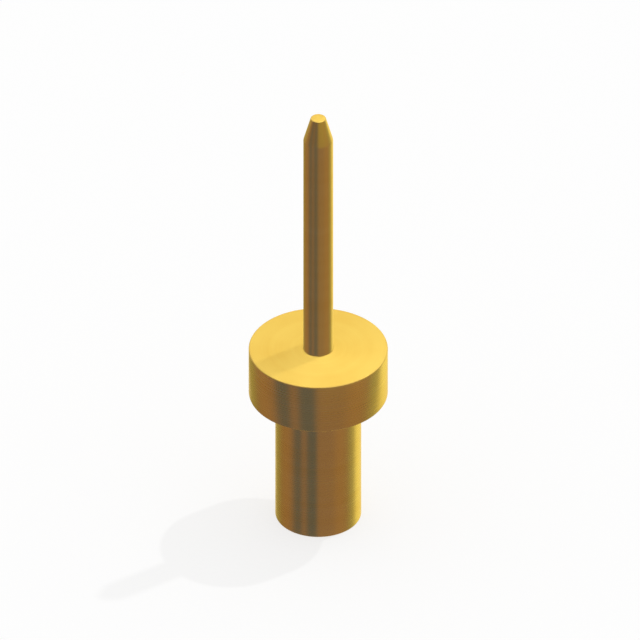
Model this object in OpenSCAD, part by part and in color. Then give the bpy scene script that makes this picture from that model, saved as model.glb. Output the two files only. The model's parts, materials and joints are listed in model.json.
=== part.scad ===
// Board pin, turned from one bar: a slim round pin with a tapered tip stands on a round flange,
// and a thicker plain stem runs down from the flange.
// The frame's origin is on the axis at the underside of the flange, with +Z towards the tip.

/* [Slim pin] */
// Diameter of the slim pin
pin_d = 0.51; // [0.4:0.01:0.9]
// Length of the slim pin above the flange, tip included
pin_len = 4.81; // [2:0.01:9]
// Length of the tapered tip
tip_len = 0.45; // [0.2:0.01:0.9]
// Diameter of the small flat at the end of the tip
tip_d = 0.26; // [0.15:0.01:0.35]

/* [Flange] */
// Diameter of the flange
flange_d = 2.38; // [1.9:0.01:4]
// Thickness of the flange
flange_t = 0.92; // [0.3:0.01:2]

/* [Stem] */
// Diameter of the stem below the flange
stem_d = 1.47; // [1:0.01:1.7]
// Length of the stem below the flange
stem_len = 2.53; // [1:0.01:6]

/* [Turned edges] */
// Edge break on the two rims of the flange
rim_break = 0.02; // [0.005:0.005:0.08]
// Edge break around the end of the stem
stem_break = 0.025; // [0.005:0.005:0.15]
// Edge break around the flat at the end of the tip
tip_break = 0.015; // [0.005:0.005:0.05]
// Corner radius that the tool leaves where the slim pin and the stem meet the flange
root_r = 0.015; // [0.005:0.005:0.08]

/* [Hidden] */

// Smoothness of the turned surfaces
turned_steps = 96;
corner_steps = 32;

pin_r = pin_d / 2;
tip_r = tip_d / 2;
flange_r = flange_d / 2;
stem_r = stem_d / 2;

flange_top = flange_t;
tip_end = flange_t + pin_len;
tip_start = tip_end - tip_len;
stem_end = -stem_len;

// Half section of the bar after turning, from the foot of the stem up to the tip
module turned_section() {
    polygon([
        [0, stem_end],
        [stem_r - stem_break, stem_end],
        [stem_r, stem_end + stem_break],
        [stem_r, 0],
        [flange_r - rim_break, 0],
        [flange_r, rim_break],
        [flange_r, flange_top - rim_break],
        [flange_r - rim_break, flange_top],
        [pin_r, flange_top],
        [pin_r, tip_start],
        [tip_r, tip_end - tip_break],
        [tip_r - tip_break, tip_end],
        [0, tip_end],
    ]);
}

// Metal that the round nose of the tool leaves in an inside corner, drawn with the corner at the origin
module corner_fillet(r) {
    difference() {
        square(r);
        translate([r, r]) circle(r, $fn = corner_steps);
    }
}

// Slim pin, flange and stem as one solid
module pc_pin() {
    color("goldenrod")
        rotate_extrude($fn = turned_steps) {
            turned_section();
            translate([pin_r, flange_top]) corner_fillet(root_r);
            translate([stem_r, 0]) mirror([0, 1]) corner_fillet(root_r);
        }
}

pc_pin();
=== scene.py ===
"""Gold-plated board pin, turned from one bar, standing on the end of its stem on a pale studio floor."""

import json
import math

import bpy
from bpy.props import FloatProperty, FloatVectorProperty, IntProperty, PointerProperty
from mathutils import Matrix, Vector


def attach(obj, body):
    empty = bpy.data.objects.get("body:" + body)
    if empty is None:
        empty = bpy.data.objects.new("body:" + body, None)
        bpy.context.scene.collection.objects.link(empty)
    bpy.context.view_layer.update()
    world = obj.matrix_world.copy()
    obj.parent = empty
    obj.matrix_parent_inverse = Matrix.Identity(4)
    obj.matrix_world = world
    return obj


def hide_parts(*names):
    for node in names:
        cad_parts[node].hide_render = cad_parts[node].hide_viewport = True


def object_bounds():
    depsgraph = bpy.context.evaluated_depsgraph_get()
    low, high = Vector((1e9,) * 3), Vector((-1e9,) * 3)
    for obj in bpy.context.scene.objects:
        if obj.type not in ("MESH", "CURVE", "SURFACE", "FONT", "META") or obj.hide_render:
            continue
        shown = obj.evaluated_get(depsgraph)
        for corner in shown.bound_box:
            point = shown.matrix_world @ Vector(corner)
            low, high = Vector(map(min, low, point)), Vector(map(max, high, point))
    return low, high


bl_info = {
    "name": "Turned board pin",
    "version": (1, 0, 0),
    "blender": (4, 5, 0),
    "location": "3D View > Sidebar > Board Pin",
    "description": "Turns a gold-plated board pin to the sizes of its packed solid and sets it on a stage",
    "category": "Object",
}

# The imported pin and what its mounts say, in metres
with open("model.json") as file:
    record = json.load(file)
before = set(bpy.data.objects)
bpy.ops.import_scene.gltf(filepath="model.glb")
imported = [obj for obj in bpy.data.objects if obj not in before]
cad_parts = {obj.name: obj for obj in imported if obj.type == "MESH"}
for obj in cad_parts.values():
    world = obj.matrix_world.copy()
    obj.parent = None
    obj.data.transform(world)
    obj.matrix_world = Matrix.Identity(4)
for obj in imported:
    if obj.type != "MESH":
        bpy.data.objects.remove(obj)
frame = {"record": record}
CAD_LOW, CAD_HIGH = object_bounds()
NODE = "pc_pin"
BODY = "root"
# Name of the map in which the pin keeps its own flat layout
BAKE_MAP = "OFBake"
MM = 0.001


def straight_wall(mount_name):
    """Diameter, lowest and highest point of a round mount's wall."""
    mount = next(m for m in frame["record"]["mounts"] if m["name"] == mount_name)
    half_length = mount["dims"]["length_mm"] * MM / 2
    middle = mount["pos_m"][2]
    return 2 * mount["dims"]["r_mm"] * MM, middle - half_length, middle + half_length


STEM_DIAMETER, STEM_WALL_FOOT, STEM_WALL_TOP = straight_wall("stem")
PIN_DIAMETER, PIN_WALL_FOOT, PIN_WALL_TOP = straight_wall("slim_pin")
# The flange's underside is the frame's zero, so each wall stops one corner radius away from the flange
ROOT_RADIUS = -STEM_WALL_TOP
FLANGE_TOP = PIN_WALL_FOOT - ROOT_RADIUS


class Value:
    """A node's output that takes part in Python arithmetic, where each operator adds a Math node."""

    def __init__(self, nodes, socket):
        self.nodes = nodes
        self.socket = socket

    def math(self, operation, *others):
        """The operation with this value put first."""
        return self.nodes.add("ShaderNodeMath", {"operation": operation}, [self, *others])

    def after(self, operation, first):
        """The operation with this value put second, for the reflected operators."""
        return self.nodes.add("ShaderNodeMath", {"operation": operation}, [first, self])

    def __add__(self, other):
        return self.math("ADD", other)

    def __radd__(self, other):
        return self.math("ADD", other)

    def __sub__(self, other):
        return self.math("SUBTRACT", other)

    def __rsub__(self, other):
        return self.after("SUBTRACT", other)

    def __mul__(self, other):
        return self.math("MULTIPLY", other)

    def __rmul__(self, other):
        return self.math("MULTIPLY", other)

    def __truediv__(self, other):
        return self.math("DIVIDE", other)

    def __rtruediv__(self, other):
        return self.after("DIVIDE", other)

    def __neg__(self):
        return self.math("MULTIPLY", -1.0)


class NodeMaker:
    """Adds nodes to a tree."""

    def __init__(self, tree):
        self.tree = tree

    @classmethod
    def emptied(cls, owner):
        """Maker for the emptied tree of a material or a world."""
        owner.use_nodes = True
        owner.node_tree.nodes.clear()
        return cls(owner.node_tree)

    def make(self, kind, settings=None, sockets=None):
        """A new node, which gets its settings first and then the values or links of its sockets."""
        node = self.tree.nodes.new(kind)
        for name, setting in (settings or {}).items():
            setattr(node, name, setting)
        self.fill(node, sockets or {})
        return node

    def add(self, kind, settings=None, sockets=None, output=0):
        """One output of a new node."""
        return self.value(self.make(kind, settings, sockets), output)

    def fill(self, node, sockets):
        pairs = enumerate(sockets) if isinstance(sockets, list) else sockets.items()
        for key, given in pairs:
            socket = self.pick(node.inputs, key)
            if isinstance(given, Value):
                self.tree.links.new(given.socket, socket)
            else:
                socket.default_value = given

    def value(self, node, output):
        return Value(self, self.pick(node.outputs, output))

    @staticmethod
    def pick(sockets, key):
        if isinstance(key, int):
            return sockets[key]
        return next(s for s in sockets if s.name == key and s.enabled)

    def choose(self, data_type, index, choices):
        """The one of several values that an index names."""
        node = self.make("GeometryNodeIndexSwitch", {"data_type": data_type})
        while len(node.index_switch_items) < len(choices):
            node.index_switch_items.new()
        named = {str(place): choice for place, choice in enumerate(choices)}
        self.fill(node, {"Index": index, **named})
        return self.value(node, "Output")

    def vector(self, x, y, z):
        return self.add("ShaderNodeCombineXYZ", None, [x, y, z])

    def parts(self, vector):
        node = self.make("ShaderNodeSeparateXYZ", None, [vector])
        return [self.value(node, axis) for axis in range(3)]

    def ease(self, value, start, end):
        """Rises smoothly from 0 at start to 1 at end."""
        settings = {"interpolation_type": "SMOOTHSTEP"}
        sockets = {"Value": value, "From Min": start, "From Max": end}
        return self.add("ShaderNodeMapRange", settings, sockets)

    def mix_colour(self, factor, first, second):
        settings = {"data_type": "RGBA", "clamp_factor": True}
        return self.add("ShaderNodeMix", settings, {"Factor": factor, "A": first, "B": second}, "Result")

    def noise(self, vector, scale, detail):
        return self.add("ShaderNodeTexNoise", None, {"Vector": vector, "Scale": scale, "Detail": detail})


def length_property(name, description, default):
    return FloatProperty(name=name, description=description, default=default, min=0.0,
                         unit="LENGTH", subtype="DISTANCE", precision=5)


def share_property(name, description, default):
    return FloatProperty(name=name, description=description, default=default, min=0.0, max=1.0,
                         subtype="FACTOR")


def angle_property(name, description, degrees):
    return FloatProperty(name=name, description=description, default=math.radians(degrees),
                         unit="ROTATION", subtype="ANGLE")


def strength_property(name, description, default):
    return FloatProperty(name=name, description=description, default=default, min=0.0)


def colour_property(name, description, default):
    return FloatVectorProperty(name=name, description=description, default=default, size=3,
                               min=0.0, max=1.0, subtype="COLOR")


class PinSizes(bpy.types.PropertyGroup):
    """Sizes of the turned bar."""

    stem_diameter: length_property("Stem diameter", "Across the stem below the flange", STEM_DIAMETER)
    stem_length: length_property("Stem length", "From the flange's underside to the stem's end", -CAD_LOW.z)
    flange_diameter: length_property("Flange diameter", "Across the flange", CAD_HIGH.x - CAD_LOW.x)
    flange_thickness: length_property("Flange thickness", "From its underside to its top face", FLANGE_TOP)
    pin_diameter: length_property("Pin diameter", "Across the slim pin", PIN_DIAMETER)
    pin_length: length_property("Pin length", "From the flange's top to the end of the tip",
                                CAD_HIGH.z - FLANGE_TOP)
    tip_length: length_property("Tip length", "Length of the taper", CAD_HIGH.z - PIN_WALL_TOP)
    tip_diameter: length_property("Tip diameter", "Across the flat at the end of the tip", 0.26 * MM)
    rim_round: length_property("Rim round", "Edge rounding on the flange's two rims", 0.02 * MM)
    foot_round: length_property("Foot round", "Edge rounding around the stem's end",
                                STEM_WALL_FOOT - CAD_LOW.z)
    tip_round: length_property("Tip round", "Edge rounding around the tip's flat", 0.015 * MM)
    shoulder_round: length_property("Shoulder round", "Rounding where the taper starts", 0.15 * MM)
    root_radius: length_property("Root radius", "Corner radius at both sides of the flange", ROOT_RADIUS)
    steps_around: IntProperty(name="Steps around", description="Faces around the axis", default=192, min=24)
    steps_per_round: IntProperty(name="Steps per round", description="Points that each rounded corner gets",
                                 default=5, min=1)


class PlatingLook(bpy.types.PropertyGroup):
    """Finish of the plated surfaces."""

    gold: colour_property("Gold", "Colour of the clean plating", (0.965, 0.705, 0.16))
    deep_gold: colour_property("Deep gold", "Colour where the plating is thicker", (0.905, 0.61, 0.112))
    worn_gold: colour_property("Worn gold", "Colour of rubbed edges", (0.97, 0.75, 0.24))
    edge_tint: colour_property("Edge tint", "Colour that the gold keeps at a glancing angle",
                               (0.97, 0.85, 0.45))
    turned_roughness: share_property("Turned roughness", "Roughness of the round sides", 0.27)
    turned_grain: share_property("Turned grain", "How far rings stretch a reflection along the axis", 0.9)
    slim_roughness: share_property("Slim roughness", "Roughness of the slim pin and its taper", 0.36)
    slim_grain: share_property("Slim grain", "How far rings stretch a reflection along the slim pin", 0.6)
    faced_roughness: share_property("Faced roughness", "Roughness of the flat faces", 0.56)
    faced_grain: share_property("Faced grain", "How far rings stretch a reflection outwards", 0.06)
    ring_pitch: length_property("Ring pitch", "Distance between the tool's rings", 0.045 * MM)
    ring_depth: length_property("Ring depth", "Depth of the tool's rings", 0.003 * MM)
    patch_size: length_property("Patch size", "Width of a patch of thicker plating", 0.8 * MM)
    wear_width: length_property("Wear width", "Width of the rubbed band along an edge", 0.05 * MM)


class StageLook(bpy.types.PropertyGroup):
    """Floor, room, lamps and camera."""

    floor_colour: colour_property("Floor", "Colour of the floor", (0.34, 0.34, 0.34))
    floor_lift: share_property("Floor lift", "Light that the floor adds for the camera", 0.685)
    room_light: share_property("Room light", "Strength of the soft light from all round", 0.7)
    wall_level: share_property("Wall level", "Brightness of the upper walls, as metal sees them", 0.75)
    front_colour: colour_property("Front wall", "Colour of the dark wall in front", (0.18, 0.125, 0.18))
    tan_colour: colour_property("Tan panel", "Colour of the low panel at front right", (0.44, 0.40, 0.17))
    card_colour: colour_property("Card", "Colour of the dark cards that stand in front",
                                 (0.25, 0.168, 0.262))
    outer_level: share_property("Outer card", "Brightness of the grey cards at the outer ends", 0.32)
    warm_colour: colour_property("Warm card", "Colour of the cards towards the sides", (0.315, 0.20, 0.23))
    strip_colour: colour_property("Strip", "Colour of the narrow strips on the cards", (0.112, 0.125, 0.32))
    key_strength: strength_property("Key lamp", "Strength of the lamp that casts the shadow", 0.55)
    key_turn: angle_property("Key turn", "From the camera's side round to the right", 124.0)
    key_height: angle_property("Key height", "Above the horizon", 62.0)
    fill_strength: strength_property("Fill lamp", "Strength of the shadowless lamp behind", 0.16)
    fill_height: angle_property("Fill height", "Above the horizon", 50.0)
    lamp_width: angle_property("Lamp width", "Width of each lamp, which softens the shadow", 1.2)
    camera_height: angle_property("Camera height", "Above the horizon", 35.264)
    frame_width: length_property("Frame width", "Width that the camera takes in", 10.94 * MM)
    aim_right: length_property("Aim right", "Distance of the frame's middle to the right of the axis",
                               0.03 * MM)
    aim_height: length_property("Aim height", "Height of the frame's middle on the axis", 1.505 * MM)


def half_section(nodes, size):
    """Corners of the half section and their roundings, from the foot's middle up to the tip's middle."""
    stem_radius = size["stem_diameter"] / 2
    flange_radius = size["flange_diameter"] / 2
    pin_radius = size["pin_diameter"] / 2
    tip_radius = size["tip_diameter"] / 2
    foot = -size["stem_length"]
    flange_top = size["flange_thickness"]
    tip_end = flange_top + size["pin_length"]
    corners = [
        (0.0, foot, 0.0),
        (stem_radius, foot, size["foot_round"]),
        (stem_radius, 0.0, size["root_radius"]),
        (flange_radius, 0.0, size["rim_round"]),
        (flange_radius, flange_top, size["rim_round"]),
        (pin_radius, flange_top, size["root_radius"]),
        (pin_radius, tip_end - size["tip_length"], size["shoulder_round"]),
        (tip_radius, tip_end, size["tip_round"]),
        (0.0, tip_end, 0.0),
    ]
    places = [nodes.vector(radius, 0.0, height) for radius, height, _ in corners]
    return places, [rounding for _, _, rounding in corners]


def rounded_section(nodes, size):
    """The half section as a curve, with its corners rounded."""
    corners, roundings = half_section(nodes, size)
    index = nodes.add("GeometryNodeInputIndex")
    line = nodes.add("GeometryNodeMeshLine", None, {"Count": len(corners)})
    line = nodes.add("GeometryNodeSetPosition", None, {
        "Geometry": line, "Position": nodes.choose("VECTOR", index, corners)})
    section = nodes.add("GeometryNodeMeshToCurve", None, {"Mesh": line})
    return nodes.add("GeometryNodeFilletCurve", {"mode": "POLY"}, {
        "Curve": section, "Count": size["steps_per_round"],
        "Radius": nodes.choose("FLOAT", index, roundings), "Limit Radius": True})


def turned_skin(nodes, size, section):
    """A sheet with one column of points for each step around, wrapped about the axis on to the section."""
    rows = nodes.add("GeometryNodeAttributeDomainSize", {"component": "CURVE"}, {"Geometry": section},
                     "Point Count")
    sheet = nodes.add("GeometryNodeMeshGrid", None, {
        "Vertices X": size["steps_around"] + 1, "Vertices Y": rows})
    index = nodes.add("GeometryNodeInputIndex")
    column = (index / rows).math("FLOOR")
    row = index - column * rows

    def on_section(data_type, value):
        """What a value is at the section's point of the same row."""
        return nodes.add("GeometryNodeSampleIndex", {"data_type": data_type, "domain": "POINT"}, {
            "Geometry": section, "Value": value, "Index": row})

    place = nodes.add("GeometryNodeInputPosition")
    radius, _, height = nodes.parts(on_section("FLOAT_VECTOR", place))
    share_of_turn = column / size["steps_around"]
    turn = share_of_turn * (2 * math.pi)
    wrapped = nodes.vector(radius * turn.math("COSINE"), radius * turn.math("SINE"), height)

    # The same sheet laid flat is stored as a map, with the turn across it
    share_of_path = nodes.add("GeometryNodeSplineParameter", None, None, "Factor")
    flat = nodes.vector(share_of_turn, on_section("FLOAT", share_of_path), 0.0)
    flat = nodes.add("GeometryNodeFieldOnDomain", {"data_type": "FLOAT_VECTOR", "domain": "POINT"}, {
        "Value": flat})
    sheet = nodes.add("GeometryNodeStoreNamedAttribute", {"data_type": "FLOAT2", "domain": "CORNER"}, {
        "Geometry": sheet, "Name": BAKE_MAP, "Value": flat})

    # Once wrapped, the sheet is closed along its seam and at both ends of the axis
    seam_gap = 0.0001 * MM
    skin = nodes.add("GeometryNodeSetPosition", None, {"Geometry": sheet, "Position": wrapped})
    skin = nodes.add("GeometryNodeMergeByDistance", None, {"Geometry": skin, "Distance": seam_gap})
    return nodes.add("GeometryNodeSetShadeSmooth", None, {"Geometry": skin})


def finished_skin(nodes, size, skin):
    """Thick sides, slim pin and flat faces with a finish each. The edges take the faces' finish."""
    flat_limit = 0.4
    _, _, height = nodes.parts(nodes.add("GeometryNodeInputPosition"))
    is_slim = height.math("GREATER_THAN", size["flange_thickness"])
    _, _, upward = nodes.parts(nodes.add("GeometryNodeInputNormal"))
    is_flat = upward.math("ABSOLUTE").math("GREATER_THAN", flat_limit)
    finishes = (("turned_finish", True), ("slim_finish", is_slim), ("faced_finish", is_flat))
    skin = nodes.add("GeometryNodeRealizeInstances", None, {"Geometry": skin})
    for name, chosen in finishes:
        skin = nodes.add("GeometryNodeSetMaterial", None, {
            "Geometry": skin, "Selection": chosen, "Material": size[name]})
    return skin


def turning_tree():
    """Geometry nodes that round the corners of a half section and turn it about the axis."""
    tree = bpy.data.node_groups.new("turned_bar", "GeometryNodeTree")
    tree.interface.new_socket("Geometry", in_out="OUTPUT", socket_type="NodeSocketGeometry")
    tree.interface.new_socket("Geometry", in_out="INPUT", socket_type="NodeSocketGeometry")
    inputs = {}
    for name, hint in PinSizes.__annotations__.items():
        kind = "NodeSocketInt" if hint.function is IntProperty else "NodeSocketFloat"
        inputs[name] = tree.interface.new_socket(name, in_out="INPUT", socket_type=kind)
    for name in ("turned_finish", "slim_finish", "faced_finish"):
        inputs[name] = tree.interface.new_socket(name, in_out="INPUT", socket_type="NodeSocketMaterial")

    nodes = NodeMaker(tree)
    given = nodes.make("NodeGroupInput")
    size = {name: nodes.value(given, name) for name in inputs}
    section = rounded_section(nodes, size)
    skin = turned_skin(nodes, size, section)
    nodes.make("NodeGroupOutput", None, [finished_skin(nodes, size, skin)])
    return tree, inputs


def tool_rings(nodes, x, y, path, pitch):
    """Fine and broad rings around the axis, which wander a little on their way round."""
    wander = 0.08
    broad_scale = 0.17
    around = nodes.add("ShaderNodeVectorMath", {"operation": "NORMALIZE"}, [nodes.vector(x, y, 0.0)])
    out_x, out_y, _ = nodes.parts(around)
    place = nodes.vector(out_x * wander, out_y * wander, path / pitch)
    return nodes.noise(place, scale=1.0, detail=2.0), nodes.noise(place, scale=broad_scale, detail=1.0)


def near_edges(nodes, radius, height, sizes, width):
    """1 on the pin's outer edges, falling to 0 at a width away from them."""
    edges = [
        (sizes.flange_diameter / 2, 0.0),
        (sizes.flange_diameter / 2, sizes.flange_thickness),
        (sizes.stem_diameter / 2, -sizes.stem_length),
        (sizes.tip_diameter / 2, sizes.flange_thickness + sizes.pin_length),
    ]
    nearest = None
    for edge_radius, edge_height in edges:
        off_radius = radius - edge_radius
        off_height = height - edge_height
        distance = (off_radius * off_radius + off_height * off_height).math("SQRT")
        near = 1 - nodes.ease(distance, start=0.0, end=width)
        nearest = near if nearest is None else nearest.math("MAXIMUM", near)
    return nearest


def opaque(colour):
    return (*colour, 1.0)


def plated_gold(look, sizes, name, roughness, grain):
    """Gold plating over a cut surface whose fine rings run around the axis."""
    material = bpy.data.materials.new(name)
    nodes = NodeMaker.emptied(material)
    point = nodes.add("ShaderNodeTexCoord", None, None, "Object")
    x, y, height = nodes.parts(point)
    radius = (x * x + y * y).math("SQRT")

    # Rings follow the path along the half section, which is height on the sides and radius on the faces
    rings, broad_rings = tool_rings(nodes, x, y, radius + height, look.ring_pitch)
    patches = nodes.noise(point, scale=1.0 / look.patch_size, detail=3.0)
    wear = near_edges(nodes, radius, height, sizes, look.wear_width)
    wear = wear * nodes.ease(patches, start=0.35, end=0.65)

    # Thicker plating in patches and rings is deeper in colour, and rubbed edges are paler
    patch_depth = 0.4
    broad_ring_depth = 0.4
    wear_depth = 0.6
    thick_patches = nodes.ease(patches, start=0.3, end=0.75) * patch_depth
    thick_rings = nodes.ease(broad_rings, start=0.3, end=0.7) * broad_ring_depth
    colour = nodes.mix_colour(thick_patches + thick_rings, opaque(look.gold), opaque(look.deep_gold))
    colour = nodes.mix_colour(wear * wear_depth, colour, opaque(look.worn_gold))

    # Rings and patches are duller and brighter by turns, and rubbed edges are duller
    noise_middle = 0.5
    ring_roughness = 0.15
    patch_roughness = 0.1
    wear_roughness = 0.15
    ring_dullness = (rings - noise_middle) * ring_roughness
    patch_dullness = (patches - noise_middle) * patch_roughness
    dullness = ring_dullness + patch_dullness + wear * wear_roughness

    fine_share = 0.6
    relief = rings * fine_share + broad_rings * (1 - fine_share)
    bump = nodes.add("ShaderNodeBump", None, {
        "Strength": 1.0, "Distance": look.ring_depth, "Height": relief})
    quarter_turn = 0.25
    gold = nodes.add("ShaderNodeBsdfPrincipled", None, {
        "Base Color": colour, "Metallic": 1.0, "Roughness": dullness + roughness,
        "Specular Tint": opaque(look.edge_tint), "Anisotropic": grain,
        "Anisotropic Rotation": quarter_turn, "Normal": bump})
    nodes.make("ShaderNodeOutputMaterial", None, {"Surface": gold})
    return material


def turned_mesh(context, sizes, look):
    """Plain mesh of the turned and plated bar."""
    finishes = {
        "turned_finish": ("gold_turned", look.turned_roughness, look.turned_grain),
        "slim_finish": ("gold_slim", look.slim_roughness, look.slim_grain),
        "faced_finish": ("gold_faced", look.faced_roughness, look.faced_grain),
    }
    tree, inputs = turning_tree()
    blank = bpy.data.objects.new("bar_blank", bpy.data.meshes.new("bar_blank"))
    context.scene.collection.objects.link(blank)
    turning = blank.modifiers.new("turning", "NODES")
    turning.node_group = tree
    for name in PinSizes.__annotations__:
        turning[inputs[name].identifier] = getattr(sizes, name)
    for name, finish in finishes.items():
        turning[inputs[name].identifier] = plated_gold(look, sizes, *finish)

    # The larger a face, the more it sets the shading, so flat faces stay flat up to their rounded edges
    large_face_weight = 100
    shading = blank.modifiers.new("flat_faces_stay_flat", "WEIGHTED_NORMAL")
    shading.weight = large_face_weight
    evaluated = blank.evaluated_get(context.evaluated_depsgraph_get())
    mesh = bpy.data.meshes.new_from_object(evaluated)
    mesh.name = "turned_pin"
    bpy.data.objects.remove(blank)
    return mesh


class BOARDPIN_OT_turned_pin(bpy.types.Operator):
    """Turn the pin from its half section and plate it"""

    bl_idname = "boardpin.turned_pin"
    bl_label = "Turned Pin"

    def execute(self, context):
        scene = context.scene
        mesh = turned_mesh(context, scene.boardpin_sizes, scene.boardpin_plating)
        pin = bpy.data.objects.new("turned_pin", mesh)
        # The pin's faces mirror the room, and not one another
        pin.visible_glossy = False
        scene.collection.objects.link(pin)
        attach(pin, BODY)
        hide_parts(NODE)
        return {"FINISHED"}


def grey(level):
    return opaque((level, level, level))


def towards(turn, height):
    """Direction at a turn from the camera's side round to the right, and at a height over the horizon."""
    flat = math.cos(height)
    return Vector((math.sin(turn) * flat, -math.cos(turn) * flat, math.sin(height)))


def looking_back(direction):
    """Rotation of a lamp or a camera that stands in a direction and looks back from there."""
    return (-direction).to_track_quat("-Z", "Y").to_euler()


def studio_room(look):
    """White room with dark cards in front, as metal sees it. All else gets its soft light alone."""
    world = bpy.data.worlds.new("studio_room")
    nodes = NodeMaker.emptied(world)
    direction = nodes.add("ShaderNodeTexCoord", None, None, "Generated")
    to_right, away, up = nodes.parts(direction)
    turn = to_right.math("ARCTAN2", -away)

    def card(left, right, soft):
        """Share of a card whose edges are turns in degrees, from the camera's side round to the right."""
        left, right, soft = (math.radians(degrees) for degrees in (left, right, soft))
        rise = nodes.ease(turn, left - soft, left + soft)
        fall = nodes.ease(turn, right - soft, right + soft)
        return rise * (1 - fall)

    def below(full, gone):
        """Falls from 1 to 0 between two heights in degrees over the horizon."""
        return 1 - nodes.ease(up, math.sin(math.radians(full)), math.sin(math.radians(gone)))

    # A dark wall closes the camera's side, and cards with dark strips stand before it up to the horizon
    low_walls = below(full=8, gone=25)
    front_wall = card(left=-105, right=105, soft=12) * below(full=58, gone=78)
    tan_panel = card(left=-3, right=105, soft=12) * below(full=12, gone=22)
    card_height = below(full=-14, gone=2)
    cards = card(left=-150, right=116, soft=10) * card_height
    outer = (card(left=92, right=118, soft=9) + card(left=-158, right=-128, soft=9)) * card_height
    warm = (card(left=50, right=85, soft=15) + card(left=-115, right=-85, soft=15)) * card_height
    strip_height = below(full=2, gone=14)
    strips = (card(left=-73, right=-48, soft=5) + card(left=-33, right=-4, soft=7)) * strip_height

    white = grey(1.0)
    layers = [
        (low_walls, white),
        (front_wall, opaque(look.front_colour)),
        (tan_panel, opaque(look.tan_colour)),
        (cards, opaque(look.card_colour)),
        (outer, grey(look.outer_level)),
        (warm, opaque(look.warm_colour)),
        (strips, opaque(look.strip_colour)),
    ]
    room = grey(look.wall_level)
    for share, colour in layers:
        room = nodes.mix_colour(share, room, colour)

    rays = nodes.make("ShaderNodeLightPath")
    seen = nodes.value(rays, "Is Camera Ray")
    mirrored = nodes.value(rays, "Is Glossy Ray").math("MAXIMUM", nodes.value(rays, "Is Transmission Ray"))
    shown = nodes.mix_colour(mirrored, grey(look.room_light), room)
    shown = nodes.mix_colour(seen, shown, white)
    background = nodes.add("ShaderNodeBackground", None, {"Color": shown, "Strength": 1.0})
    nodes.make("ShaderNodeOutputWorld", None, {"Surface": background})
    return world


def pale_floor(look):
    """Matt floor material that keeps the pin's shadow. The light it adds is seen but lights nothing."""
    material = bpy.data.materials.new("pale_floor")
    nodes = NodeMaker.emptied(material)
    matt = nodes.add("ShaderNodeBsdfDiffuse", None, {"Color": opaque(look.floor_colour)})
    rays = nodes.make("ShaderNodeLightPath")
    seen = nodes.value(rays, "Is Camera Ray").math("MAXIMUM", nodes.value(rays, "Is Glossy Ray"))
    seen = seen.math("MAXIMUM", nodes.value(rays, "Is Transmission Ray"))
    lift = nodes.add("ShaderNodeEmission", None, {"Color": grey(1.0), "Strength": seen * look.floor_lift})
    surface = nodes.add("ShaderNodeAddShader", None, [matt, lift])
    nodes.make("ShaderNodeOutputMaterial", None, {"Surface": surface})
    return material


def lay_floor(scene, look, level):
    """Square floor at a level. Metal looks past it into the room."""
    reach = 500 * MM
    corners = [
        (-reach, -reach, level),
        (reach, -reach, level),
        (reach, reach, level),
        (-reach, reach, level),
    ]
    mesh = bpy.data.meshes.new("floor")
    mesh.from_pydata(corners, [], [(0, 1, 2, 3)])
    mesh.materials.append(pale_floor(look))
    floor = bpy.data.objects.new("floor", mesh)
    floor.visible_glossy = False
    scene.collection.objects.link(floor)


def add_lamp(scene, name, strength, to_lamp, width, casts_shadow):
    lamp = bpy.data.objects.new(name, bpy.data.lights.new(name, "SUN"))
    lamp.data.energy = strength
    lamp.data.angle = width
    lamp.data.use_shadow = casts_shadow
    lamp.rotation_euler = looking_back(to_lamp)
    scene.collection.objects.link(lamp)


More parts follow.
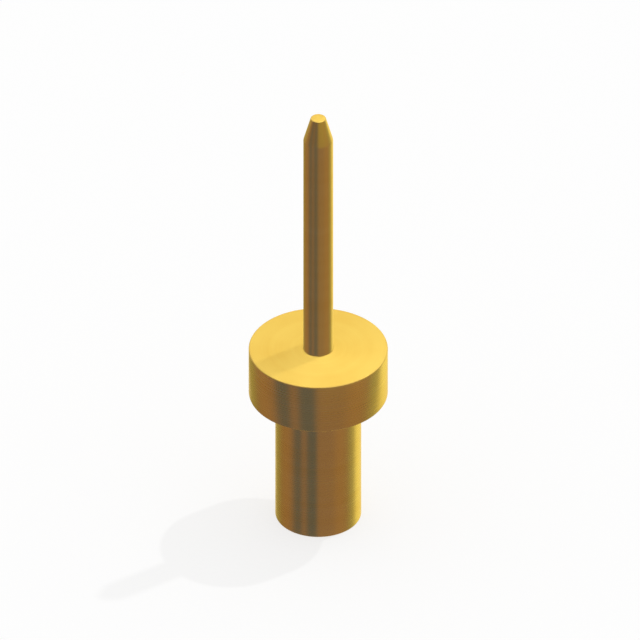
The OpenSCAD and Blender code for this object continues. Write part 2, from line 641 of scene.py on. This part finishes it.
def add_camera(scene, look):
    """Camera that sees the pin without perspective, from the front and above."""
    distance = 50 * MM
    nearest = 1 * MM
    farthest = 1000 * MM
    camera = bpy.data.objects.new("camera", bpy.data.cameras.new("camera"))
    camera.data.type = "ORTHO"
    camera.data.ortho_scale = look.frame_width
    camera.data.clip_start = nearest
    camera.data.clip_end = farthest
    to_camera = towards(0.0, look.camera_height)
    camera.location = Vector((look.aim_right, 0.0, look.aim_height)) + to_camera * distance
    camera.rotation_euler = looking_back(to_camera)
    scene.collection.objects.link(camera)
    scene.camera = camera


class BOARDPIN_OT_stage(bpy.types.Operator):
    """Set the floor, the room, the lamps and the camera"""

    bl_idname = "boardpin.stage"
    bl_label = "Stage"

    def execute(self, context):
        scene = context.scene
        look = scene.boardpin_stage
        scene.view_settings.view_transform = "Standard"
        scene.world = studio_room(look)
        lay_floor(scene, look, -scene.boardpin_sizes.stem_length)
        to_key = towards(look.key_turn, look.key_height)
        to_fill = towards(math.pi, look.fill_height)
        add_lamp(scene, "key_lamp", look.key_strength, to_key, look.lamp_width, casts_shadow=True)
        add_lamp(scene, "fill_lamp", look.fill_strength, to_fill, look.lamp_width, casts_shadow=False)
        add_camera(scene, look)
        return {"FINISHED"}


class BOARDPIN_PT_panel(bpy.types.Panel):
    """Lists what makes the pin and its stage"""

    bl_idname = "BOARDPIN_PT_panel"
    bl_label = "Board Pin"
    bl_space_type = "VIEW_3D"
    bl_region_type = "UI"
    bl_category = "Board Pin"

    def draw(self, context):
        for group, operator in PANEL_ROWS:
            settings = getattr(context.scene, group)
            box = self.layout.box()
            for name in settings.__annotations__:
                box.prop(settings, name)
            if operator:
                box.operator(operator.bl_idname)


PANEL_ROWS = (
    ("boardpin_sizes", None),
    ("boardpin_plating", BOARDPIN_OT_turned_pin),
    ("boardpin_stage", BOARDPIN_OT_stage),
)
GROUPS = {"boardpin_sizes": PinSizes, "boardpin_plating": PlatingLook, "boardpin_stage": StageLook}
CLASSES = (*GROUPS.values(), BOARDPIN_OT_turned_pin, BOARDPIN_OT_stage, BOARDPIN_PT_panel)


def register():
    for cls in CLASSES:
        bpy.utils.register_class(cls)
    for name, group in GROUPS.items():
        setattr(bpy.types.Scene, name, PointerProperty(type=group))


def unregister():
    for name in GROUPS:
        delattr(bpy.types.Scene, name)
    for cls in reversed(CLASSES):
        bpy.utils.unregister_class(cls)


def main():
    register()
    bpy.ops.boardpin.turned_pin()
    bpy.ops.boardpin.stage()


if __name__ == "__main__":
    main()
